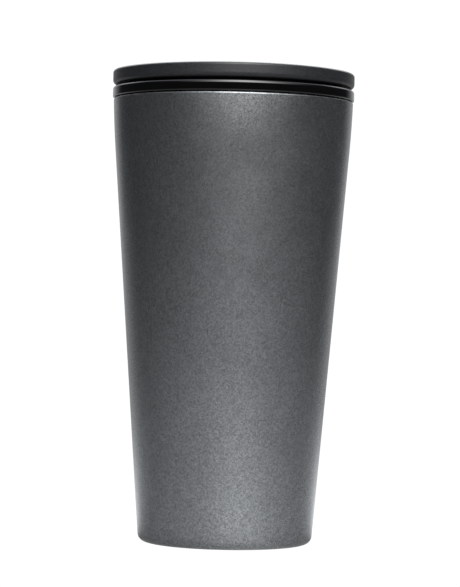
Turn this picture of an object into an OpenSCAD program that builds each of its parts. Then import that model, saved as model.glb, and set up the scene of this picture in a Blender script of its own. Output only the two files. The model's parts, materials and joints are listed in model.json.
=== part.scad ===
// Insulated drinks tumbler: a double-walled steel cup with a screw-in lid.
// A quarter turn of the lid's cap raises a valve and opens a drinking gap all the way round.
// Frame: +Z up, origin at the centre of the base, on the table. Millimetres.

/* [Cup] */
// Height of the steel cup, from the table to its rim
cup_h = 164.5; // [150:0.1:180]
// Diameter of the outer wall's cone where it reaches the table
base_d = 64.5; // [62:0.5:68]
// Thickness of the steel sheet
sheet_t = 0.5; // [0.4:0.05:0.6]
// Width of the evacuated space between the two walls
vacuum_gap = 2.5; // [2.2:0.1:2.8]

/* [Lid] */
// Diameter of the cap and of the drinking lip
lid_d = 90; // [87:1:93]
// Height of the drinking lip
lip_h = 4.1; // [3.8:0.1:5]
// Gap between the closed cap and the lip
lip_gap = 0.7; // [0.6:0.1:1.2]
// Thickness of the cap
cap_t = 5.4; // [5.2:0.1:7]
// Rise of the cap and its valve in a quarter turn
cap_lift = 4; // [3:0.25:4]

/* [Lid thread] */
// Rise of the lid in one turn
lid_lead = 16; // [15:0.5:18]
// Number of thread starts
lid_starts = 4; // [4:1:4]

/* [Hidden] */
$fn = 96;

// Colours
coat = [0.27, 0.28, 0.30];
steel = [0.74, 0.74, 0.72];
gloss_black = [0.04, 0.04, 0.045];
matt_black = [0.10, 0.10, 0.11];
acetal = [0.86, 0.86, 0.83];
silicone = [0.16, 0.17, 0.18];

// Outer wall: a cone that turns a little more upright over the last stretch below the rim
lid_r = lid_d / 2;
rim_r = lid_r - 0.4;
base_r = base_d / 2;
rim_round = 0.6;
corner_r = 3;
foot_z = 0.1;
shoulder_h = 18.4;
shoulder_bend = 360;
wall_top_z = cup_h - rim_round;
shoulder_z = cup_h - shoulder_h;
shoulder_drop = pow(wall_top_z - shoulder_z, 2) / (2 * shoulder_bend);
taper = (rim_r + shoulder_drop - base_r) / wall_top_z;

// Liner
neck_r = lid_r - 4;
neck_top_z = cup_h - 4.4;
neck_low_z = cup_h - 15.9;
liner_floor_z = 7.5;
liner_corner_r = 8;
floor_dome_r = 17;
floor_dome_h = 1;
flare_r = 1.5;
seam_r = neck_r + 2;

// Base
foot_in_r = 27;
plate_z = 2;
pad_r = 26.2;
pad_ring_r = 19;
dimple_r = 4.5;
dimple_h = 1;
evacuation_r = 0.6;
getter_r = 4.5;
getter_at = [14, 0];

// Lid, with z measured from the cup's rim
rim_gap = 0.3;
lip_top = rim_gap + lip_h;
cap_low = lip_top + lip_gap;
cap_high = cap_low + cap_t;
lip_round = 1.2;
core_top = -2.2;
groove_low = -6.4;
groove_r = neck_r - 2.7;
core_r = neck_r - 1.7;
core_low = -17.4;
floor_t = 2;
floor_top = core_low + floor_t;
channel_r = neck_r - 4.2;
seat_r = channel_r - 3.8;
seat_bead_r = 0.8;
window_r = seat_r - 2;
hub_r = 10;
hub_low = core_low - 3;
spoke_w = 2.4;
spokes = 4;

// Thread between lid and cup
ridge_root_w = 2;
ridge_crest_w = 0.9;
core_crest_r = neck_r - 0.4;
liner_crest_r = neck_r - 0.95;
core_ridge_z = -13;
core_ridge_from = 2;
core_ridge_span = 50;
liner_ridge_rise = 1.5;
liner_ridge_from = -13;
liner_ridge_span = 75;
liner_ridge_z = core_ridge_z + liner_ridge_rise
    + lid_lead * (liner_ridge_from - core_ridge_from) / 360;

// Spindle and the cam thread that lifts the cap
shaft_r = 7;
shaft_core_r = 5.6;
shaft_low = floor_top + 0.5;
flange_low = floor_top - 1.5;
cam_low = -5.9;
spindle_top = 4.1;
keyway_low = -6.9;
keyway_w = 2.2;
keyway_floor_r = 5.2;
cam_lead = 4 * cap_lift;
cam_starts = 4;
cam_ridge_z = -4.7;
nut_ridge_z = -2.6;
nut_ridge_from = 360 * (nut_ridge_z - cam_ridge_z) / cam_lead - 180 / cam_starts;
screw_r = 1.6;
washer_t = 0.8;

// Valve
boss_r = 10.2;
boss_low = -14;
boss_top = -4.4;
bowl_low = -13.4;
bowl_floor_t = 2;
bowl_rim = 1;
bowl_r = seat_r + 1.2;
bowl_top_r = bowl_r + 0.6;
bowl_wall_t = 1.5;
stem_ring_z = -12.1;
stem_ring_r = 0.8;
swivel_z = -7.3;
swivel_t = 0.8;

// Cap
cap_round_low = 1.7;
cap_round_high = 1.0;
cap_skirt_t = 1.8;
cap_plate_t = 1.6;
dish_depth = 0.5;
dish_r = lid_r - 5.5;
nut_r = 13.2;
nut_bore_r = 7.2;
nut_flange_r = 20;
base_low = 1.6;
base_t = 2;
base_rim_z = cap_low + 0.3;
cap_screw_count = 3;
cap_screw_at = 17;
cap_screw_r = 1.4;
cap_screw_head_r = 2.8;
cap_boss_r = 3.2;

// ---- Functions -------------------------------------------------------------

// Points on an arc about c, from angle a0 to a1
function arc(c, r, a0, a1, n = 8) =
    [for (i = [0:n]) let (a = a0 + (a1 - a0) * i / n) c + r * [cos(a), sin(a)]];

// Points on a quadratic Bezier curve, without its first point
function bend(p, q, s, n = 8) =
    [for (i = [1:n]) let (t = i / n) (1 - t) * (1 - t) * p + 2 * t * (1 - t) * q + t * t * s];

// Radius of the outer wall at height z
function wall_r(z) =
    base_r + taper * z - pow(max(0, z - shoulder_z), 2) / (2 * shoulder_bend);

// Radius of the liner's inner face on its tapered stretch
function liner_r(z) = base_r + taper * z - vacuum_gap - 2 * sheet_t;

// Outer wall from its lower corner to the rim, moved inwards by t
function wall_line(t) =
    let (n = 8)
    [for (i = [0:n]) let (z = shoulder_z + (wall_top_z - shoulder_z) * i / n)
        [wall_r(z) - t, z]];

// Liner's inner face, from the middle of the floor up to the seam, moved outwards by t
function liner_line(t) =
    let (
        z = liner_floor_z + liner_corner_r,
        corner = [liner_r(z) - liner_corner_r, z],
        knee_z = neck_low_z - 4
    )
    concat(
        [[0, liner_floor_z + floor_dome_h - t], [floor_dome_r - 2, liner_floor_z + floor_dome_h - t]],
        [[floor_dome_r, liner_floor_z - t]],
        arc(corner, liner_corner_r + t, -90, 0),
        [[liner_r(knee_z) + t, knee_z], [neck_r + t, neck_low_z], [neck_r + t, neck_top_z]],
        arc([seam_r, cup_h - flare_r], flare_r - t, 180, 90)
    );

// Points of a path in reverse
function back(p) = [for (i = [len(p) - 1:-1:0]) p[i]];

// ---- Shared shapes ---------------------------------------------------------

module turned(outline) rotate_extrude() polygon(outline);

module at_rim() translate([0, 0, cup_h]) children();

module around(n, first = 0) for (i = [0:n - 1]) rotate([0, 0, first + 360 * i / n]) children();

// One thread ridge: a trapezium swept up a helix from angle 0 to span, low at both ends.
// root_r is the wall that it grows from, and bury is how far its root goes into that wall.
module helix_ridge(root_r, crest_r, root_w, crest_w, lead, span, bury) {
    steps = ceil(span / 5);
    side = sign(crest_r - root_r);
    ring = function (i)
        let (
            a = span * i / steps,
            z = lead * a / 360,
            full = min(1, (0.15 + 0.425 * min(i, steps - i))),
            r1 = root_r - side * bury,
            r2 = root_r + (crest_r - root_r) * full,
            w2 = crest_w + (root_w - crest_w) * (1 - full)
        )
        [for (p = [[r1, -root_w / 2], [r1, root_w / 2], [r2, w2 / 2], [r2, -w2 / 2]])
            [p[0] * cos(a), p[0] * sin(a), z + p[1]]];
    points = [for (i = [0:steps]) each ring(i)];
    sides = [
        for (i = [0:steps - 1], k = [0:3])
            let (a = 4 * i + k, b = 4 * i + (k + 1) % 4, c = b + 4, d = a + 4)
            each [[a, b, c], [a, c, d]]
    ];
    last = 4 * steps;
    ends = [[0, 2, 1], [0, 3, 2], [last, last + 1, last + 2], [last, last + 2, last + 3]];
    faces = concat(sides, ends);
    polyhedron(points, side > 0 ? [for (f = faces) [f[2], f[1], f[0]]] : faces);
}

// Pan-head screw with a hexagonal socket: its shank stands on z = 0, and its head is below
module pan_screw(shank_r, length, head_r, head_h, socket_r) {
    difference() {
        union() {
            turned(concat(
                [[0, -head_h]],
                arc([head_r - 0.6, -head_h + 0.6], 0.6, -90, 0, 5),
                [[head_r, 0], [0, 0]]
            ));
            turned([[0, -0.1], [shank_r, -0.1], [shank_r, length - shank_r], [0.3, length], [0, length]]);
        }
        translate([0, 0, -head_h - 1]) cylinder(r = socket_r, h = 1 + head_h * 0.6, $fn = 6);
    }
}

// ---- Cup -------------------------------------------------------------------

module outer_shell() {
    low_r = wall_r(foot_z + corner_r) - corner_r;
    top_r = rim_r - rim_round;
    outside = concat(
        [[foot_in_r, foot_z]],
        arc([low_r, foot_z + corner_r], corner_r, -90, 0),
        wall_line(0),
        arc([top_r, wall_top_z], rim_round, 10, 90)
    );
    inside = concat(
        [[foot_in_r, foot_z + sheet_t]],
        arc([low_r, foot_z + corner_r], corner_r - sheet_t, -90, 0),
        wall_line(sheet_t),
        arc([top_r, wall_top_z], rim_round - sheet_t, 10, 90)
    );
    color(coat) turned(concat(outside, [[seam_r, cup_h], [seam_r, cup_h - sheet_t]], back(inside)));
}

module inner_liner() {
    color(steel) {
        turned(concat(back(liner_line(0)), liner_line(sheet_t)));
        at_rim() around(lid_starts, liner_ridge_from)
            translate([0, 0, liner_ridge_z])
                helix_ridge(neck_r, liner_crest_r, ridge_root_w, ridge_crest_w,
                            lid_lead, liner_ridge_span, sheet_t / 2);
    }
}

module base_plate() {
    t = sheet_t;
    color(steel) turned([
        [evacuation_r, plate_z + dimple_h], [dimple_r, plate_z + dimple_h], [dimple_r + 1, plate_z],
        [foot_in_r - t, plate_z], [foot_in_r - t, foot_z], [foot_in_r, foot_z],
        [foot_in_r, plate_z + t], [dimple_r + 1.2, plate_z + t],
        [dimple_r + 0.2, plate_z + dimple_h + t], [evacuation_r, plate_z + dimple_h + t]
    ]);
}

module vacuum_seal_bead() {
    roof = plate_z + dimple_h;
    color([0.45, 0.36, 0.22]) turned(concat(
        [[0, plate_z + 0.15]],
        arc([3.4, roof - 0.3], 0.55, -90, 0, 5),
        [[3.95, roof], [evacuation_r, roof], [evacuation_r, roof + 0.4], [0, roof + 0.4]]
    ));
}

module foot_pad() {
    edge = 0.4;
    color(silicone) turned(concat(
        [[0, 0.6], [pad_ring_r - 0.6, 0.6]],
        [[pad_ring_r, 0]],
        arc([pad_r - edge, edge], edge, -90, 0, 5),
        [[pad_r, plate_z], [0, plate_z]]
    ));
}

module radiation_foil() {
    gap = 0.1;
    foil_t = 0.12;
    low = liner_floor_z + liner_corner_r + 1;
    high = neck_low_z - 6;
    r = function (z) liner_r(z) + sheet_t + gap;
    color([0.80, 0.52, 0.36]) turned([
        [r(low), low], [r(low) + foil_t, low], [r(high) + foil_t, high], [r(high), high]
    ]);
}

module getter_cup() {
    t = 0.3;
    z = plate_z + sheet_t;
    color(steel) translate([getter_at[0], getter_at[1], z]) turned([
        [0, 0], [getter_r, 0], [getter_r, 2], [getter_r - t, 2], [getter_r - t, t], [0, t]
    ]);
}

module getter_pellet() {
    z = plate_z + sheet_t + 0.3;
    color([0.30, 0.29, 0.28]) translate([getter_at[0], getter_at[1], z])
        turned([[0, 0], [getter_r - 0.5, 0], [getter_r - 0.5, 1.1], [getter_r - 0.9, 1.4], [0, 1.4]]);
}

// ---- Lid: the parts that screw into the cup ----------------------------------

module lid_gasket() {
    // Two soft lips that wipe the neck
    lip_r = neck_r - 0.05;
    root_r = groove_r + 0.05;
    body_r = root_r + 1.2;
    low = groove_low + 0.1;
    high = core_top - 0.1;
    color(silicone) at_rim() turned([
        [root_r, low], [body_r, low], [lip_r - 0.5, low + 0.9], [lip_r, low + 1.3], [lip_r - 0.1, low + 1.5],
        [body_r, low + 1.9], [body_r, low + 2.2], [lip_r - 0.5, low + 2.9], [lip_r, low + 3.3],
        [lip_r - 0.1, low + 3.5], [body_r, high], [root_r, high]
    ]);
}

module drinking_collar() {
    foot = 0.5;
    inner = 0.9;
    crest = lid_r - lip_round;
    color(gloss_black) at_rim() turned(concat(
        [[channel_r, core_top], [neck_r - 0.4, core_top], [neck_r - 0.2, core_top + 1.2]],
        bend([neck_r - 0.2, core_top + 1.2], [neck_r - 0.2, rim_gap], [neck_r + 1, rim_gap], 5),
        arc([lid_r - foot, rim_gap + foot], foot, -90, 0, 4),
        arc([crest, lip_top - lip_round], lip_round, 0, 90, 10),
        arc([crest, lip_top - inner], inner, 90, 180, 8),
        bend([crest - inner, lip_top - inner], [crest - 2.9, core_top + 1.8], [channel_r, core_top], 12)
    ));
}

module lid_core() {
    bead = seat_bead_r;
    color(matt_black) at_rim() {
        difference() {
            union() {
                // Plug wall, gasket groove and valve seat
                turned(concat(
                    [[window_r, core_low], [core_r, core_low], [core_r, groove_low],
                     [groove_r, groove_low], [groove_r, core_top], [channel_r, core_top],
                     [channel_r, floor_top]],
                    arc([seat_r, floor_top], bead, 0, 180, 10),
                    [[window_r, floor_top]]
                ));
                // Hub on four spokes
                translate([0, 0, hub_low]) cylinder(r = hub_r, h = floor_top - hub_low);
                around(spokes, 45) translate([hub_r - 2, -spoke_w / 2, hub_low + 1])
                    cube([window_r + 3 - hub_r, spoke_w, floor_top - hub_low - 1.6]);
            }
            // Spokes end at the plug wall, and the hub is bored for the spindle
            translate([0, 0, hub_low - 1]) difference() {
                cylinder(r = lid_r, h = core_low - hub_low + 1);
                translate([0, 0, -1]) cylinder(r = window_r, h = core_low - hub_low + 3);
            }
            translate([0, 0, hub_low - 1]) cylinder(r = screw_r + 0.6, h = 20);
            translate([0, 0, flange_low]) spindle_seat(0.1, 5);
        }
        around(lid_starts, core_ridge_from) translate([0, 0, core_ridge_z])
            helix_ridge(core_r, core_crest_r, ridge_root_w, ridge_crest_w,
                        lid_lead, core_ridge_span, 0.4);
    }
}

// Round foot with two flats, which keeps the spindle from turning
module spindle_seat(clearance, h) {
    r = shaft_r + 1.2 + clearance;
    flat = shaft_r + clearance;
    linear_extrude(h) intersection() {
        circle(r = r);
        square([2 * flat, 2 * r + 2], center = true);
    }
}

module spindle() {
    color(acetal) at_rim() difference() {
        union() {
            translate([0, 0, flange_low]) spindle_seat(0, shaft_low - flange_low);
            translate([0, 0, shaft_low - 0.1]) cylinder(r = shaft_r, h = cam_low - shaft_low + 0.1);
            translate([0, 0, cam_low - 0.1]) cylinder(r = shaft_core_r, h = spindle_top - cam_low + 0.1);
            around(cam_starts) translate([0, 0, cam_ridge_z])
                helix_ridge(shaft_core_r, shaft_r, 2.2, 1.4, cam_lead, 170, 0.3);
        }
        // Keyways for the valve's two keys
        for (side = [0, 180]) rotate([0, 0, side])
            translate([keyway_floor_r, -keyway_w / 2, keyway_low]) cube([5, keyway_w, 20]);
        translate([0, 0, flange_low - 1]) cylinder(r = screw_r + 0.05, h = 12);
    }
}

module spindle_screw() {
    length = 9.5;
    color(steel) at_rim() translate([0, 0, hub_low - washer_t])
        pan_screw(screw_r, length + washer_t, 3.6, 2.2, 1.5);
}

module spindle_washer() {
    color(silicone) at_rim() translate([0, 0, hub_low - washer_t]) difference() {
        cylinder(r = 4.6, h = washer_t);
        translate([0, 0, -1]) cylinder(r = screw_r + 0.1, h = washer_t + 2);
    }
}

// ---- Lid: the valve, which rises without turning ------------------------------

module valve_bowl() {
    floor_high = bowl_low + bowl_floor_t;
    color(matt_black) at_rim() {
        difference() {
            turned([
                [shaft_r + 0.05, boss_low], [boss_r, boss_low], [boss_r, bowl_low],
                [bowl_r, bowl_low], [bowl_r, floor_high], [bowl_top_r, bowl_rim],
                [bowl_top_r - bowl_wall_t, bowl_rim], [bowl_r - bowl_wall_t, floor_high],
                [boss_r, floor_high], [boss_r, boss_top], [shaft_r + 0.05, boss_top]
            ]);
            // Grooves for the valve seal, the stem seal and the swivel ring
            translate([0, 0, bowl_low - 1]) tube(seat_r - 1.2, seat_r + 0.9, 2.2);
            translate([0, 0, stem_ring_z - 0.9]) cylinder(r = shaft_r + 1.75, h = 1.8);
            translate([0, 0, swivel_z - 0.5]) tube(boss_r - 0.8, boss_r + 1, 1);
        }
        // Keys that slide in the spindle's keyways
        for (side = [0, 180]) rotate([0, 0, side])
            translate([keyway_floor_r + 0.3, -1, boss_top - 1.6]) cube([2.4, 2, 1.6]);
    }
}

module tube(r_in, r_out, h) {
    difference() {
        cylinder(r = r_out, h = h);
        translate([0, 0, -1]) cylinder(r = r_in, h = h + 2);
    }
}

module valve_seal() {
    // Fills the groove under the bowl, and its flat face closes on the seat's bead
    face_z = floor_top + seat_bead_r + 0.05;
    root_z = bowl_low + 1.2;
    color([0.55, 0.56, 0.57]) at_rim() turned([
        [seat_r - 1.0, face_z], [seat_r + 0.8, face_z], [seat_r + 1.15, face_z + 0.4],
        [seat_r + 1.15, bowl_low], [seat_r + 0.9, bowl_low], [seat_r + 0.9, root_z],
        [seat_r - 1.2, root_z], [seat_r - 1.2, bowl_low], [seat_r - 1.6, bowl_low],
        [seat_r - 1.6, face_z + 0.4]
    ]);
}

module stem_seal() {
    color(silicone) at_rim() translate([0, 0, stem_ring_z]) rotate_extrude()
        translate([shaft_r + 0.1 + stem_ring_r, 0]) circle(r = stem_ring_r);
}

module swivel_ring() {
    // Open snap ring that hangs the valve on the cam nut
    gap = 30;
    color(steel) at_rim() translate([0, 0, swivel_z - swivel_t / 2])
        rotate([0, 0, gap / 2]) rotate_extrude(angle = 360 - gap)
            translate([boss_r - 0.75, 0]) square([1.85, swivel_t]);
}

// ---- Lid: the cap, which turns and rises --------------------------------------

module cam_nut() {
    low = -9;
    ceiling = boss_top + 0.3;
    high = base_low + base_t + 2.6;
    bore = boss_r + 0.3;
    color(acetal) at_rim() {
        difference() {
            turned([
                [bore, low], [nut_r, low], [nut_r, base_low + base_t],
                [nut_flange_r, base_low + base_t], [nut_flange_r, base_low + base_t + 1.6],
                [nut_r, base_low + base_t + 1.6], [nut_r, high], [nut_bore_r, high],
                [nut_bore_r, ceiling], [bore, ceiling]
            ]);
            translate([0, 0, swivel_z - 0.6]) cylinder(r = boss_r + 1.4, h = 1.2);
            around(cap_screw_count) translate([cap_screw_at, 0, 0]) cylinder(r = cap_screw_r + 0.2, h = 10);
        }
        around(cam_starts, nut_ridge_from) translate([0, 0, nut_ridge_z])
            helix_ridge(nut_bore_r, shaft_core_r + 0.3, 2, 1.3, cam_lead, 165, 0.3);
    }
}

module cap_base() {
    // Underside of the cap: low in the middle, and swept up to the rim as a deflector
    top = base_low + base_t;
    rim_t = 1.6;
    out_r = lid_r - cap_skirt_t - 0.1;
    knee_r = bowl_top_r + 0.6;
    color(matt_black) at_rim() difference() {
        turned(concat(
            [[nut_r + 0.2, base_low], [knee_r, base_low]],
            bend([knee_r, base_low], [knee_r + 3, base_low], [out_r - 4, base_rim_z], 8),
            [[out_r, base_rim_z], [out_r, base_rim_z + rim_t], [out_r - 4.6, base_rim_z + rim_t]],
            bend([out_r - 4.6, base_rim_z + rim_t], [knee_r + 2, top], [knee_r - 1, top], 8),
            [[nut_r + 0.2, top]]
        ));
        translate([0, 0, base_low - 1]) tube(bowl_top_r - 1.5, bowl_top_r + 0.1, 2);
        around(cap_screw_count) translate([cap_screw_at, 0, 0]) cylinder(r = cap_screw_r + 0.2, h = 10);
    }
}

module cap_top() {
    wall_r_in = lid_r - cap_skirt_t;
    step_z = base_rim_z + 1.7;
    under = cap_high - cap_plate_t;
    color(coat) at_rim() {
        difference() {
            turned(concat(
                [[0, cap_high - dish_depth], [dish_r - 12, cap_high - dish_depth]],
                bend([dish_r - 12, cap_high - dish_depth], [dish_r - 2, cap_high - dish_depth],
                     [dish_r + 1, cap_high], 8),
                back(arc([lid_r - cap_round_high, cap_high - cap_round_high], cap_round_high, 0, 90, 8)),
                back(arc([lid_r - cap_round_low, cap_low + cap_round_low], cap_round_low, -90, 0, 10)),
                [[wall_r_in, cap_low], [wall_r_in, step_z], [wall_r_in - 0.8, step_z],
                 [wall_r_in - 0.8, under], [0, under]]
            ));
            turn_mark();
        }
        around(cap_screw_count) translate([cap_screw_at, 0, base_low + base_t + 1.6]) difference() {
            cylinder(r = cap_boss_r, h = under - base_low - base_t - 1.5);
            translate([0, 0, -1]) cylinder(r = cap_screw_r + 0.05, h = 4.4);
        }
    }
}

// Shallow curved arrow in the top face, which shows the way to turn
module turn_mark() {
    r = dish_r - 16;
    w = 1.2;
    sweep = 50;
    translate([0, 0, cap_high - dish_depth - 0.3]) {
        rotate([0, 0, -90 - sweep / 2]) rotate_extrude(angle = sweep)
            translate([r - w / 2, 0]) square([w, 2]);
        rotate([0, 0, -90 + sweep / 2]) linear_extrude(2)
            polygon([[r - 1.8, -0.01], [r + 1.8, -0.01], [r, 3.2]]);
    }
}

module cap_screws() {
    color(steel) at_rim() around(cap_screw_count) translate([cap_screw_at, 0, base_low])
        pan_screw(cap_screw_r, 6.2, cap_screw_head_r, 1.5, 1.15);
}

module splash_seal() {
    // Flat ring in the cap's groove that rubs on the bowl's rim
    color(silicone) at_rim() translate([0, 0, bowl_rim + 0.05])
        tube(bowl_top_r - 1.4, bowl_top_r, base_low - bowl_rim + 0.9);
}

outer_shell();
inner_liner();
base_plate();
radiation_foil();
getter_cup();
getter_pellet();
vacuum_seal_bead();
foot_pad();
lid_gasket();
drinking_collar();
lid_core();
spindle();
spindle_screw();
spindle_washer();
valve_bowl();
valve_seal();
stem_seal();
swivel_ring();
cam_nut();
cap_base();
cap_top();
cap_screws();
splash_seal();
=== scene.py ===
import json
import math

import bpy
import numpy as np
from mathutils import Euler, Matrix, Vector
from mathutils.bvhtree import BVHTree


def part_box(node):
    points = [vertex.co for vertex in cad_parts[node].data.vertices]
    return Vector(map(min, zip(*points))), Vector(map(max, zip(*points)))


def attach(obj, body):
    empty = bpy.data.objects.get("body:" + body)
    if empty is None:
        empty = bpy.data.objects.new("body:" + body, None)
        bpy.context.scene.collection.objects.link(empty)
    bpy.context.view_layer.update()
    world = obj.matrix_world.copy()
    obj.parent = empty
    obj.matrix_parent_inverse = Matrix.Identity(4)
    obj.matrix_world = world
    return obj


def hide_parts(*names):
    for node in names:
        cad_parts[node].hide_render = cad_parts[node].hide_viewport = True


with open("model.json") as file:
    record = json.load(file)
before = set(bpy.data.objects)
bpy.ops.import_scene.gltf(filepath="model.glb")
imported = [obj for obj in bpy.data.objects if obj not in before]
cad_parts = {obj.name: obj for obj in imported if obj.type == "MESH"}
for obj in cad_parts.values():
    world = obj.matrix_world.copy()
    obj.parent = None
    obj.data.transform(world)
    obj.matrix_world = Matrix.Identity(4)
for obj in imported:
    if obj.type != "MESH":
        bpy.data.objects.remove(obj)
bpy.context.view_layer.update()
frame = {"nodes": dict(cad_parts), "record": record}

record = frame["record"]
body_of = {n: b for b, nodes in record["behaviour"]["bodies"].items() for n in nodes}
slot_of = {s["node"]: s["material_slot"] for s in record["subparts"]}

MM = 0.001
FULL_TURN = 2 * math.pi
SEGMENTS = 360


# ---- Reading a turned shape back from the CAD mesh ---------------------------

MERGE = 0.0005 * MM  # vertices closer than this are one
RIM_BAND = 0.02 * MM  # a vertex this near the greatest radius is on the rim
NUDGE = 1e-5  # radians that keep the cut clear of the vertices
SLIVER = 0.05 * MM  # a loop that stays this near the axis is no section


def mesh_arrays(obj):
    """Vertices with the doubles merged, and triangles, as arrays."""
    mesh = obj.data
    mesh.calc_loop_triangles()
    co = np.zeros(len(mesh.vertices) * 3)
    mesh.vertices.foreach_get("co", co)
    tri = np.zeros(len(mesh.loop_triangles) * 3, int)
    mesh.loop_triangles.foreach_get("vertices", tri)
    grid = np.round(co.reshape(-1, 3) / MERGE).astype(np.int64)
    _, first, index = np.unique(grid, axis=0, return_index=True, return_inverse=True)
    tri = index.reshape(-1)[tri].reshape(-1, 3)
    keep = (tri[:, 0] != tri[:, 1]) & (tri[:, 1] != tri[:, 2]) & (tri[:, 2] != tri[:, 0])
    return co.reshape(-1, 3)[first], tri[keep]


def cut_links(co, tri, turn):
    """Where the half plane at this turn cuts the triangles: the (radius, height) of each cut edge,
    and the cut edges that each one is joined to."""
    c, s = math.cos(turn), math.sin(turn)
    along = co[:, 0] * c + co[:, 1] * s
    side = co[:, 1] * c - co[:, 0] * s
    above = side > 0
    links = {}
    places = {}
    for t in tri[(above[tri].any(1)) & (~above[tri].all(1))]:
        ends = []
        for a, b in ((t[0], t[1]), (t[1], t[2]), (t[2], t[0])):
            if above[a] != above[b]:
                key = (min(a, b), max(a, b))
                k = side[a] / (side[a] - side[b])
                places[key] = (along[a] + k * (along[b] - along[a]), co[a, 2] + k * (co[b, 2] - co[a, 2]))
                ends.append(key)
        if len(ends) == 2:
            links.setdefault(ends[0], []).append(ends[1])
            links.setdefault(ends[1], []).append(ends[0])
    return places, links


def outline(node, near_deg=0.0):
    """The node's section as the longest loop of (radius, height), cut where its mesh has vertices
    nearest near_deg."""
    co, tri = mesh_arrays(frame["nodes"][node])
    radius = np.hypot(co[:, 0], co[:, 1])
    rim = radius > radius.max() - RIM_BAND
    turn = np.arctan2(co[rim, 1], co[rim, 0])
    away = np.abs((turn - math.radians(near_deg) + math.pi) % FULL_TURN - math.pi)
    places, links = cut_links(co, tri, turn[np.argmin(away)] + NUDGE)
    loops = []
    left = set(links)
    while left:
        start = max(left, key=lambda edge: places[edge][0])
        path, here, before = [start], start, None
        left.discard(start)
        while True:
            following = [edge for edge in links[here] if edge != before and edge in left]
            if not following:
                break
            before, here = here, following[0]
            left.discard(here)
            path.append(here)
        points = np.array([places[edge] for edge in path])
        if points[:, 0].max() > SLIVER and len(points) > 2:
            loops.append(points)
    return max(loops, key=len)


# ---- Building pieces ---------------------------------------------------------

def tidy_loop(points, gap=0.02 * MM, axis=0.03 * MM):
    """The loop without points that lie on top of each other, and with those by the axis put on it."""
    kept = []
    for r, z in points:
        r = r if r > axis else 0.0
        if not kept or math.hypot(r - kept[-1][0], z - kept[-1][1]) > gap:
            kept.append((r, z))
    if math.hypot(kept[0][0] - kept[-1][0], kept[0][1] - kept[-1][1]) <= gap:
        kept.pop()
    return kept


def soften(points, size, least_turn=28, share=0.4, least_reach=0.01 * MM):
    """The loop with each corner sharper than least_turn degrees rounded off. The rounding starts
    size away from the corner, or at this share of a shorter side."""
    n, out = len(points), []
    for i in range(n):
        before, corner, after = (Vector(points[(i + k) % n]) for k in (-1, 0, 1))
        back, on = before - corner, after - corner
        reach = min(size, share * back.length, share * on.length)
        sharp = 180 - math.degrees(back.angle(on, math.pi))
        if sharp < least_turn or corner.x < size or reach < least_reach:
            out.append(tuple(corner))
            continue
        a, b = corner + back.normalized() * reach, corner + on.normalized() * reach
        for t in (0.0, 0.25, 0.5, 0.75, 1.0):
            out.append(tuple(a.lerp(corner, t).lerp(corner.lerp(b, t), t)))
    return out


def brace(points, span=0.8 * MM, near=0.06 * MM, short=0.3):
    """The loop with a point added close to each end of a long flat that runs into a rounding, so that
    the rounding's shading does not spread over the flat. A side under this share of the flat is short
    enough to be part of a rounding."""
    n, out = len(points), []
    for i in range(n):
        before, p, q, after = (Vector(points[(i + k) % n]) for k in (-1, 0, 1, 2))
        flat = q - p
        out.append(tuple(p))
        if flat.length < span:
            continue
        inwards = flat.normalized() * near
        for end, beyond, place in ((p, before, p + inwards), (q, after, q - inwards)):
            if (end - beyond).length < short * flat.length and place.x > near:
                out.append(tuple(place))
    return out


def turned(loop):
    """Vertices and faces of a closed (radius, height) loop turned about the vertical axis."""
    verts, rows = [], []
    for r, z in loop:
        if r <= 0.0:
            rows.append([len(verts)] * SEGMENTS)
            verts.append((0.0, 0.0, z))
            continue
        rows.append(list(range(len(verts), len(verts) + SEGMENTS)))
        verts += [(r * math.cos(FULL_TURN * k / SEGMENTS), r * math.sin(FULL_TURN * k / SEGMENTS), z)
                  for k in range(SEGMENTS)]
    faces = []
    for a, b in zip(rows, rows[1:] + rows[:1]):
        if a[0] == a[-1] and b[0] == b[-1]:
            continue
        for k in range(SEGMENTS):
            j = (k + 1) % SEGMENTS
            quad = [a[k], a[j], b[j], b[k]]
            faces.append([v for i, v in enumerate(quad) if v not in quad[:i]])
    area = sum(p[0] * q[1] - q[0] * p[1] for p, q in zip(loop, loop[1:] + loop[:1]))
    return verts, faces if area < 0 else [f[::-1] for f in faces]


def new_piece(name, verts, faces, node, material, sharp_deg):
    """A smooth-shaded mesh that stands for a CAD node. Edges that turn by more than sharp_deg stay crisp."""
    mesh = bpy.data.meshes.new(name)
    mesh.from_pydata(verts, [], faces)
    mesh.validate()
    mesh.shade_smooth()
    mesh.set_sharp_from_angle(angle=math.radians(sharp_deg))
    mesh.materials.append(material)
    obj = bpy.data.objects.new(name, mesh)
    bpy.context.scene.collection.objects.link(obj)
    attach(obj, body_of[node])
    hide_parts(node)


def lathe(node, name, material, soft=0.15 * MM, sharp_deg=40):
    """A fine turned piece that stands for a CAD node with the same section."""
    loop = brace(soften(tidy_loop(outline(node)), soft))
    verts, faces = turned(loop)
    new_piece(name, verts, faces, node, material, sharp_deg)


# ---- Materials -----------------------------------------------------------------

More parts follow.
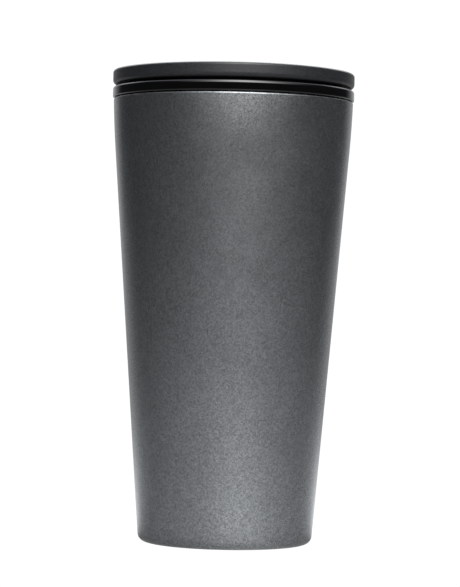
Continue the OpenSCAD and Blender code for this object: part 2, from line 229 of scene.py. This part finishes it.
class Tree:
    """Short words for building a node tree."""

    def __init__(self, tree):
        self.tree = tree

    def plug(self, node, socket, source):
        """Links the source to the socket, or sets the socket to it if it is a plain value."""
        if hasattr(source, "is_output"):
            self.tree.links.new(source, node.inputs[socket])
        else:
            node.inputs[socket].default_value = source

    def add(self, kind, *sources, **settings):
        node = self.tree.nodes.new("ShaderNode" + kind)
        for key, value in settings.items():
            setattr(node, key, value)
        for socket, source in sources:
            self.plug(node, socket, source)
        return node

    def math(self, operation, a, b=0.0, clamp=False):
        return self.add("Math", (0, a), (1, b), operation=operation, use_clamp=clamp).outputs[0]

    def sum(self, a, b, clamp=False):
        return self.math("ADD", a, b, clamp)

    def times(self, a, b):
        return self.math("MULTIPLY", a, b)

    def length(self, x, y):
        return self.math("SQRT", self.sum(self.times(x, x), self.times(y, y)))

    def spread(self, value, low, high, to_low=0.0, to_high=1.0):
        """The value's range low to high, mapped to another range and held at its ends."""
        return self.add("MapRange", ("Value", value), ("From Min", low), ("From Max", high),
                        ("To Min", to_low), ("To Max", to_high)).outputs["Result"]


class Finish(Tree):
    """A material's node tree, from its noises to its shader."""

    def __init__(self, name):
        self.material = bpy.data.materials.new(name)
        self.material.use_nodes = True
        super().__init__(self.material.node_tree)
        self.shader = self.tree.nodes["Principled BSDF"]
        places = self.add("TexCoord").outputs
        self.place = places["Object"]
        self.facing = places["Normal"]

    def noise(self, scale, detail=2.0, rough=0.5, at=None, warp=0.0):
        return self.add("TexNoise", ("Vector", at or self.place), ("Scale", scale), ("Detail", detail),
                        ("Roughness", rough), ("Distortion", warp)).outputs["Fac"]

    def flecks(self, scale):
        """A random tone for each small cell of the surface."""
        return self.add("TexVoronoi", ("Vector", self.place), ("Scale", scale)).outputs["Color"]

    def blend(self, factor, a, b):
        return self.add("Mix", (0, factor), (6, a), (7, b), data_type="RGBA").outputs[2]

    def cylinder(self):
        """Radius, turn in radians and height of the shaded point."""
        x, y, z = self.add("SeparateXYZ", (0, self.place)).outputs
        return self.length(x, y), self.math("ARCTAN2", y, x), z

    def vector(self, x, y, z):
        return self.add("CombineXYZ", (0, x), (1, y), (2, z)).outputs[0]

    def edges(self, radius):
        """Rounded normal, and how near the point is to an edge."""
        normal = self.add("Bevel", ("Radius", radius), samples=6).outputs[0]
        true = self.add("NewGeometry").outputs["True Normal"]
        dot = self.add("VectorMath", (0, normal), (1, true), operation="DOT_PRODUCT").outputs["Value"]
        return normal, self.spread(dot, 0.985, 0.80)

    def bumps(self, layers, normal=None):
        """Stacks (height, strength, distance) layers on a normal, and gives the shader the result."""
        for height, strength, distance in layers:
            node = self.add("Bump", ("Height", height), ("Strength", strength), ("Distance", distance))
            if normal is not None:
                self.plug(node, "Normal", normal)
            normal = node.outputs[0]
        self.plug(self.shader, "Normal", normal)

    def set(self, **values):
        """Values or links for the shader's own sockets; underscores stand for spaces."""
        for key, value in values.items():
            self.plug(self.shader, key.replace("_", " "), value)
        return self.material


def grey(value, tint=(1.0, 1.0, 1.0)):
    return tuple(value * t for t in tint) + (1.0,)


def powder_coat(name, base, tint, roughness, metallic, edge_radius=None, gloss=0.5,
                on_rounding=0.0, on_top=0.0):
    """Fine matt powder coat: a pebbled skin with flecks, specks and slow cloudy changes of tone.
    The roughness changes by on_rounding where the surface turns upwards, and by on_top where it
    looks straight up."""
    n = Finish(name)
    pebble = n.noise(2600, 3.0, 0.6, warp=2.5)
    skin = n.noise(700, 2.0, 0.5, warp=1.0)
    cloud = n.noise(38, 4.0, 0.6)
    specks = n.spread(n.noise(4200, 1.0, 0.4, warp=2.5), 0.60, 0.74)
    tone = n.sum(n.spread(cloud, 0.3, 0.7, -0.05, 0.05), n.spread(pebble, 0.25, 0.75, -0.13, 0.13))
    tone = n.sum(tone, n.spread(n.flecks(2600), 0.0, 1.0, -0.6, 0.6))
    tone = n.sum(tone, n.spread(skin, 0.3, 0.7, -0.02, 0.02))
    factor = n.sum(tone, 0.5, clamp=True)
    colour = n.blend(factor, grey(base * 0.55, tint), grey(base * 1.45, tint))
    colour = n.blend(n.times(specks, 0.25), colour, grey(base * 2.2, tint))
    normal = None
    if edge_radius:
        normal, edge = n.edges(edge_radius)
        colour = n.blend(n.times(edge, 0.12), colour, grey(base * 2.0, tint))
    rough = n.sum(n.spread(pebble, 0.3, 0.7, -0.04, 0.04), n.spread(cloud, 0.3, 0.7, -0.015, 0.015))
    if on_rounding or on_top:
        up = n.add("SeparateXYZ", (0, n.facing)).outputs[2]
        rough = n.sum(rough, n.spread(up, 0.04, 0.20, 0.0, on_rounding))
        rough = n.sum(rough, n.spread(up, 0.90, 0.98, 0.0, on_top - on_rounding))
    n.bumps([(pebble, 0.38, 0.012 * MM)], normal)
    return n.set(Base_Color=colour, Roughness=n.sum(rough, roughness), Metallic=metallic,
                 Specular_IOR_Level=gloss)


def steel(name, base=0.62, roughness=0.24, lines=5200, edge_radius=0.12 * MM):
    """Stainless steel, spun to fine lines round the axis, with faint wider bands and smudges."""
    n = Finish(name)
    radius, turn, height = n.cylinder()
    across = n.sum(height, n.times(radius, 1.37))
    fine_at = n.vector(n.times(across, lines), n.times(turn, 0.9), 0.0)
    wide_at = n.vector(n.times(across, lines / 9), n.times(turn, 0.35), 3.0)
    fine = n.noise(1.0, 2.0, 0.7, fine_at)
    wide = n.noise(1.0, 2.0, 0.6, wide_at)
    smudge = n.noise(60, 4.0, 0.6)
    factor = n.sum(n.spread(fine, 0.3, 0.7, 0.2, 0.6), n.spread(wide, 0.3, 0.7, -0.1, 0.2), clamp=True)
    colour = n.blend(factor, grey(base * 0.86, (1.0, 0.99, 0.97)), grey(base * 1.10, (1.0, 0.995, 0.98)))
    normal, edge = n.edges(edge_radius)
    colour = n.blend(n.times(edge, 0.25), colour, grey(min(1.0, base * 1.25)))
    rough = n.sum(n.spread(smudge, 0.35, 0.7, -0.03, 0.06), n.spread(fine, 0.3, 0.7, -0.04, 0.05))
    n.bumps([(fine, 0.12, 0.006 * MM), (wide, 0.06, 0.02 * MM)], normal)
    return n.set(Base_Color=colour, Roughness=n.sum(rough, roughness), Metallic=1.0)


def plastic(name, base, tint, roughness=0.42, grain=900, depth=0.02 * MM, edge_radius=0.2 * MM):
    """Moulded plastic with a spark-eroded skin, slightly shinier where edges have rubbed."""
    n = Finish(name)
    skin = n.noise(grain, 3.0, 0.6)
    fine = n.noise(grain * 4, 2.0, 0.6)
    cloud = n.noise(45, 3.0, 0.5)
    normal, edge = n.edges(edge_radius)
    factor = n.sum(n.spread(cloud, 0.3, 0.7, 0.35, 0.65), n.spread(fine, 0.3, 0.7, -0.15, 0.15), clamp=True)
    colour = n.blend(factor, grey(base * 0.82, tint), grey(base * 1.18, tint))
    colour = n.blend(n.times(edge, 0.2), colour, grey(min(0.95, base * 1.7 + 0.01), tint))
    rough = n.sum(n.spread(skin, 0.3, 0.7, -0.05, 0.06), n.times(edge, -0.08))
    n.bumps([(skin, 0.22, depth), (fine, 0.12, depth / 3)], normal)
    return n.set(Base_Color=colour, Roughness=n.sum(rough, roughness), IOR=1.49)


def gloss_plastic(name, base, roughness):
    """Polished plastic: almost a mirror, with the slight ripple of a moulding and hairline scuffs."""
    n = Finish(name)
    ripple = n.noise(120, 2.0, 0.4)
    radius, turn, height = n.cylinder()
    hair = n.noise(1.0, 2.0, 0.7, n.vector(n.times(height, 3000.0), n.times(turn, 6.0), radius))
    smudge = n.noise(90, 4.0, 0.65)
    scuff = n.spread(hair, 0.66, 0.78)
    colour = n.blend(n.spread(smudge, 0.3, 0.7), grey(base * 0.8), grey(base * 1.3))
    rough = n.sum(n.spread(smudge, 0.4, 0.75, 0.0, 0.02), n.times(scuff, 0.02))
    n.bumps([(ripple, 0.05, 0.02 * MM), (hair, 0.02, 0.004 * MM)])
    return n.set(Base_Color=colour, Roughness=n.sum(rough, roughness), IOR=1.52)


def silicone(name, base, tint, roughness=0.52):
    """Silicone rubber: matt, with a soft sheen and a little dust in its pores."""
    n = Finish(name)
    pores = n.noise(1500, 3.0, 0.6)
    dust = n.spread(n.noise(240, 4.0, 0.7), 0.55, 0.8)
    colour = n.blend(n.spread(pores, 0.3, 0.7), grey(base * 0.85, tint), grey(base * 1.2, tint))
    colour = n.blend(n.times(dust, 0.12), colour, grey(0.35))
    n.bumps([(pores, 0.2, 0.012 * MM)])
    rough = n.spread(pores, 0.3, 0.7, roughness - 0.05, roughness + 0.07)
    return n.set(Base_Color=colour, Roughness=rough, IOR=1.43, Sheen_Weight=0.15, Sheen_Roughness=0.4)


def copper_foil(name):
    """Thin copper foil with soft wrinkles."""
    n = Finish(name)
    crease = n.noise(160, 5.0, 0.65)
    tarnish = n.noise(50, 4.0, 0.6)
    colour = n.blend(n.spread(tarnish, 0.35, 0.7), (0.78, 0.36, 0.20, 1), (0.60, 0.27, 0.15, 1))
    n.bumps([(crease, 0.5, 0.15 * MM)])
    return n.set(Base_Color=colour, Roughness=n.spread(crease, 0.3, 0.7, 0.18, 0.34), Metallic=1.0)


def pressed_powder(name):
    """Pressed metal powder: dark, rough and speckled."""
    n = Finish(name)
    grains = n.noise(2200, 4.0, 0.7)
    colour = n.blend(n.spread(grains, 0.35, 0.7), grey(0.05), grey(0.16))
    n.bumps([(grains, 0.6, 0.05 * MM)])
    return n.set(Base_Color=colour, Roughness=n.spread(grains, 0.3, 0.7, 0.55, 0.8), Metallic=0.6)


def solder_glass(name):
    """Fused brown sealing glass with small bubbles."""
    n = Finish(name)
    bubbles = n.noise(1300, 2.0, 0.5)
    swirl = n.noise(260, 4.0, 0.6)
    colour = n.blend(n.spread(swirl, 0.3, 0.7), (0.10, 0.06, 0.03, 1), (0.24, 0.16, 0.08, 1))
    n.bumps([(bubbles, 0.3, 0.03 * MM)])
    return n.set(Base_Color=colour, Roughness=n.spread(bubbles, 0.3, 0.7, 0.12, 0.3), IOR=1.6)


body_coat = powder_coat("body_coat", 0.206, (0.95, 0.985, 1.03), 0.27, 0.92, on_rounding=0.07)
cap_coat = powder_coat("cap_coat", 0.0129, (0.92, 0.98, 1.10), 0.40, 0.0, edge_radius=0.12 * MM,
                       gloss=0.27, on_rounding=-0.22, on_top=0.55)
lip_black = gloss_plastic("lip_black", 0.001, roughness=0.03)
core_black = plastic("core_black", 0.012, (0.98, 1.0, 1.03))
acetal_white = plastic("acetal_white", 0.62, (1.0, 0.99, 0.95), roughness=0.35, grain=600, depth=0.012 * MM)
seal_dark = silicone("seal_dark", 0.022, (0.97, 1.0, 1.04))
seal_grey = silicone("seal_grey", 0.20, (0.98, 1.0, 1.02))
liner_steel = steel("liner_steel")
bright_steel = steel("bright_steel", 0.66, 0.20, lines=9000)
finish_of = {
    "powder_coat": body_coat, "cap_coat": cap_coat, "bare_steel": bright_steel,
    "copper_foil": copper_foil("foil_copper"), "getter_metal": pressed_powder("getter_powder"),
    "solder_glass": solder_glass("seal_glass"), "dark_silicone": seal_dark, "grey_silicone": seal_grey,
    "gloss_black": lip_black, "black_plastic": core_black, "acetal": acetal_white,
}


# ---- The cup -------------------------------------------------------------------

RIDGE_FREE_DEG = 70  # a turn at which no thread ridge crosses the liner's neck
NECK_TOP = 3 * MM  # the plain stretch of the neck above the ridges
NECK_STEP = 0.3 * MM
WALL_STEP = 6 * MM


def with_steps(loop, neck_low):
    """The loop with points added, close together in the neck and far apart elsewhere."""
    fine = []
    for p, q in zip(loop, loop[1:] + loop[:1]):
        in_neck = min(p[1], q[1]) > neck_low and p[0] > 0 and q[0] > 0
        span = math.hypot(q[0] - p[0], q[1] - p[1])
        steps = max(1, round(span / (NECK_STEP if in_neck else WALL_STEP)))
        fine += [(p[0] + (q[0] - p[0]) * k / steps, p[1] + (q[1] - p[1]) * k / steps) for k in range(steps)]
    return fine


def ridge_depths(fine, neck_low, neck_high):
    """How far the CAD thread ridges push in each point of the neck, eased as rolled steel is."""
    co, tri = mesh_arrays(frame["nodes"]["inner_liner"])
    sheet = BVHTree.FromPolygons(co.tolist(), tri.tolist())
    depth = np.zeros((len(fine), SEGMENTS))
    for i, (r, z) in enumerate(fine):
        if not neck_low < z < neck_high:
            continue
        for k in range(SEGMENTS):
            turn = FULL_TURN * k / SEGMENTS
            distance = sheet.ray_cast(Vector((0, 0, z)), Vector((math.cos(turn), math.sin(turn), 0)))[3]
            depth[i, k] = max(0.0, r - distance) if distance else 0.0
    for _ in range(2):
        depth = (np.roll(depth, 1, 0) + 2 * depth + np.roll(depth, -1, 0)) / 4
        depth = (np.roll(depth, 2, 1) + 2 * depth + np.roll(depth, -2, 1)) / 4
    return depth


def build_liner():
    """The liner as a fine turned sheet whose neck follows the CAD thread ridges."""
    neck_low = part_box("lid_core")[0].z
    neck_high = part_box("inner_liner")[1].z - NECK_TOP
    fine = with_steps(tidy_loop(outline("inner_liner", RIDGE_FREE_DEG)), neck_low)
    depth = ridge_depths(fine, neck_low, neck_high)
    verts, faces = turned(fine)
    verts = np.array(verts)
    at = 0
    for i, (r, z) in enumerate(fine):
        if r <= 0:
            at += 1
            continue
        verts[at:at + SEGMENTS, :2] *= (1 - depth[i] / r)[:, None]
        at += SEGMENTS
    new_piece("cup_liner", verts.tolist(), faces, "inner_liner", liner_steel, sharp_deg=60)


lathe("outer_shell", "cup_wall", body_coat, soft=0.12 * MM)
lathe("base_plate", "cup_base_plate", bright_steel)
lathe("foot_pad", "cup_foot_pad", seal_dark, soft=0.3 * MM)
build_liner()


# ---- The lid -------------------------------------------------------------------

lathe("drinking_collar", "lid_lip", lip_black, soft=0.12 * MM, sharp_deg=60)
lathe("lid_gasket", "lid_gasket_ring", seal_dark, soft=0.25 * MM, sharp_deg=60)
lathe("valve_seal", "valve_face_seal", seal_grey, soft=0.2 * MM, sharp_deg=60)
lathe("splash_seal", "cap_splash_seal", seal_dark, soft=0.15 * MM, sharp_deg=60)


# ---- CAD nodes that show as they are ---------------------------------------------

for name, node in frame["nodes"].items():
    node.data.materials.clear()
    node.data.materials.append(finish_of[slot_of[name]])


# ---- Camera --------------------------------------------------------------------

LENS = 145.95  # millimetres, on a sensor of the size below
SENSOR = 36.0
AXIS_DISTANCE = 0.8882
EYE_HEIGHT = 0.0921
EYE_RIGHT = 0.0002
TILT_DOWN = math.radians(-0.04)
ROLL = math.radians(1.19)

camera_data = bpy.data.cameras.new("camera")
camera_data.sensor_width = SENSOR
camera_data.lens = LENS
camera_data.clip_start = 0.01
camera = bpy.data.objects.new("camera", camera_data)
bpy.context.scene.collection.objects.link(camera)
level = Euler((math.pi / 2 - TILT_DOWN, 0.0, 0.0)).to_matrix()
camera.rotation_euler = (level @ Euler((0.0, 0.0, ROLL)).to_matrix()).to_euler()
camera.location = (EYE_RIGHT, -AXIS_DISTANCE, EYE_HEIGHT)
bpy.context.scene.camera = camera


# ---- Floor, backdrop and light ---------------------------------------------------
# Angles are degrees. A turn is measured from the camera's side of the object, and a climb from level.
# Lengths on the floor are metres from the object's axis.

PAPER_WHITE = 1.05
KEY_COLOUR = (1.0, 0.99, 0.965)
AIR_COLOUR = (0.90, 0.98, 1.09)
BACK_COLOUR = (0.99, 1.0, 1.01)
FLOOR_COLOUR = (0.985, 1.0, 1.02)

FRONT_AIR = 0.036
TOP_BOX = {"strength": 1.6, "low": 30, "high": 60}
KEY = {"strength": 9.3, "turn": 11, "width": 33, "low": 7.8, "soft": 3.5, "high": 62, "fade": 20}
BACK_AIR = {"strength": 0.58, "start": 132, "end": 160}
BACK_BOX = {"strength": 3.0, "low": 14, "high": 38, "start": 105, "end": 150}

FLOOR_HALF = 3.0
FLOOR_FAR = {"front": 0.085, "back": 0.46, "start": 112, "end": 150}
FLOOR_NEAR = {"strength": 0.70, "reach": 0.62, "turn": 10, "width": 118}
FLOOR_FRONT = {"strength": 0.58, "reach": 0.22, "turn": 15, "width": 30}
FLOOR_BEHIND = {"strength": 0.8, "reach": 0.34, "start": 85, "end": 150}
CONTACT_SHADE = {"start": 0.026, "end": 0.070, "least": 0.52}


class Glow(Tree):
    """Light whose strength changes softly with direction, or with place on the floor."""

    def __init__(self, tree, co):
        super().__init__(tree)
        x, y, z = self.add("SeparateXYZ", (0, self.add("TexCoord").outputs[co])).outputs
        self.turn = self.math("ARCTAN2", x, self.times(y, -1.0))
        self.away = self.length(x, y)
        self.climb = self.math("ARCSINE", z)

    def step(self, value, start, end, least=0.0):
        """From least at start to 1 at end, eased."""
        return self.add("MapRange", ("Value", value), ("From Min", start), ("From Max", end),
                        ("To Min", least), interpolation_type="SMOOTHSTEP").outputs["Result"]

    def bell(self, value, middle, width):
        x = self.math("DIVIDE", self.math("SUBTRACT", value, middle), width)
        return self.math("EXPONENT", self.times(self.times(x, x), -1.0))

    def towards(self, turn, width):
        """Brightest at one turn."""
        return self.bell(self.turn, math.radians(turn), math.radians(width))

    def behind(self, start, end):
        """Brightest at the back, from both sides alike."""
        return self.step(self.math("ABSOLUTE", self.turn), math.radians(start), math.radians(end))

    def rising(self, low, high):
        """Brighter with the climb, from low to high."""
        return self.step(self.climb, math.radians(low), math.radians(high))

    def pool(self, strength, reach, turn, width):
        """A soft pool of light round the object, brightest towards one turn and weaker under its edge."""
        spot = self.times(self.bell(self.away, 0.0, reach), self.towards(turn, width))
        shade = self.step(self.away, CONTACT_SHADE["start"], CONTACT_SHADE["end"], CONTACT_SHADE["least"])
        return self.times(self.times(spot, shade), strength)

    def glow(self, kind, strength, colour):
        return self.add(kind, ("Strength", strength), ("Color", tuple(colour) + (1.0,))).outputs[0]

    def shine(self, kind, seen, lights, output):
        """The camera sees plain white paper; everything else gets the lights at their real strength."""
        total = self.glow(kind, *lights[0])
        for strength, colour in lights[1:]:
            total = self.add("AddShader", (0, total), (1, self.glow(kind, strength, colour))).outputs[0]
        to_camera = self.add("LightPath").outputs["Is Camera Ray"]
        mix = self.add("MixShader", (0, to_camera), (1, total), (2, self.glow(kind, seen, (1, 1, 1))))
        self.plug(self.tree.nodes[output], "Surface", mix.outputs[0])


def light_world():
    """A large soft key light in front, a weak light overhead and a white backdrop."""
    world = bpy.data.worlds.new("studio")
    world.use_nodes = True
    bpy.context.scene.world = world
    air = Glow(world.node_tree, "Generated")
    key = air.times(air.towards(KEY["turn"], KEY["width"]), air.rising(KEY["low"], KEY["low"] + KEY["soft"]))
    key = air.times(key, air.rising(KEY["high"] + KEY["fade"], KEY["high"]))
    top = air.times(air.rising(TOP_BOX["low"], TOP_BOX["high"]), TOP_BOX["strength"])
    box = air.times(air.rising(BACK_BOX["low"], BACK_BOX["high"]),
                    air.behind(BACK_BOX["start"], BACK_BOX["end"]))
    back = air.times(air.behind(BACK_AIR["start"], BACK_AIR["end"]), BACK_AIR["strength"])
    back = air.sum(back, air.times(box, BACK_BOX["strength"]))
    lights = [(air.sum(top, FRONT_AIR), AIR_COLOUR), (back, BACK_COLOUR),
              (air.times(key, KEY["strength"]), KEY_COLOUR)]
    air.shine("Background", PAPER_WHITE, lights, "World Output")


def light_floor():
    """A sheet of white paper that gives off the light it would throw back."""
    mesh = bpy.data.meshes.new("floor")
    corners = ((-1, -1), (1, -1), (1, 1), (-1, 1))
    mesh.from_pydata([(x * FLOOR_HALF, y * FLOOR_HALF, 0) for x, y in corners], [], [(0, 1, 2, 3)])
    floor = bpy.data.objects.new("floor", mesh)
    bpy.context.scene.collection.objects.link(floor)
    paper = bpy.data.materials.new("floor_paper")
    paper.use_nodes = True
    mesh.materials.append(paper)
    paper.node_tree.nodes.remove(paper.node_tree.nodes["Principled BSDF"])
    ground = Glow(paper.node_tree, "Object")
    far = ground.times(ground.behind(FLOOR_FAR["start"], FLOOR_FAR["end"]),
                       FLOOR_FAR["back"] - FLOOR_FAR["front"])
    near = ground.sum(ground.pool(**FLOOR_NEAR), FLOOR_FAR["front"])
    glare = ground.times(ground.bell(ground.away, 0.0, FLOOR_BEHIND["reach"]),
                         ground.behind(FLOOR_BEHIND["start"], FLOOR_BEHIND["end"]))
    strength = ground.sum(ground.sum(near, far), ground.times(glare, FLOOR_BEHIND["strength"]))
    lights = [(strength, FLOOR_COLOUR), (ground.pool(**FLOOR_FRONT), KEY_COLOUR)]
    ground.shine("Emission", PAPER_WHITE, lights, "Material Output")


light_world()
light_floor()
bpy.context.scene.view_settings.view_transform = "Standard"
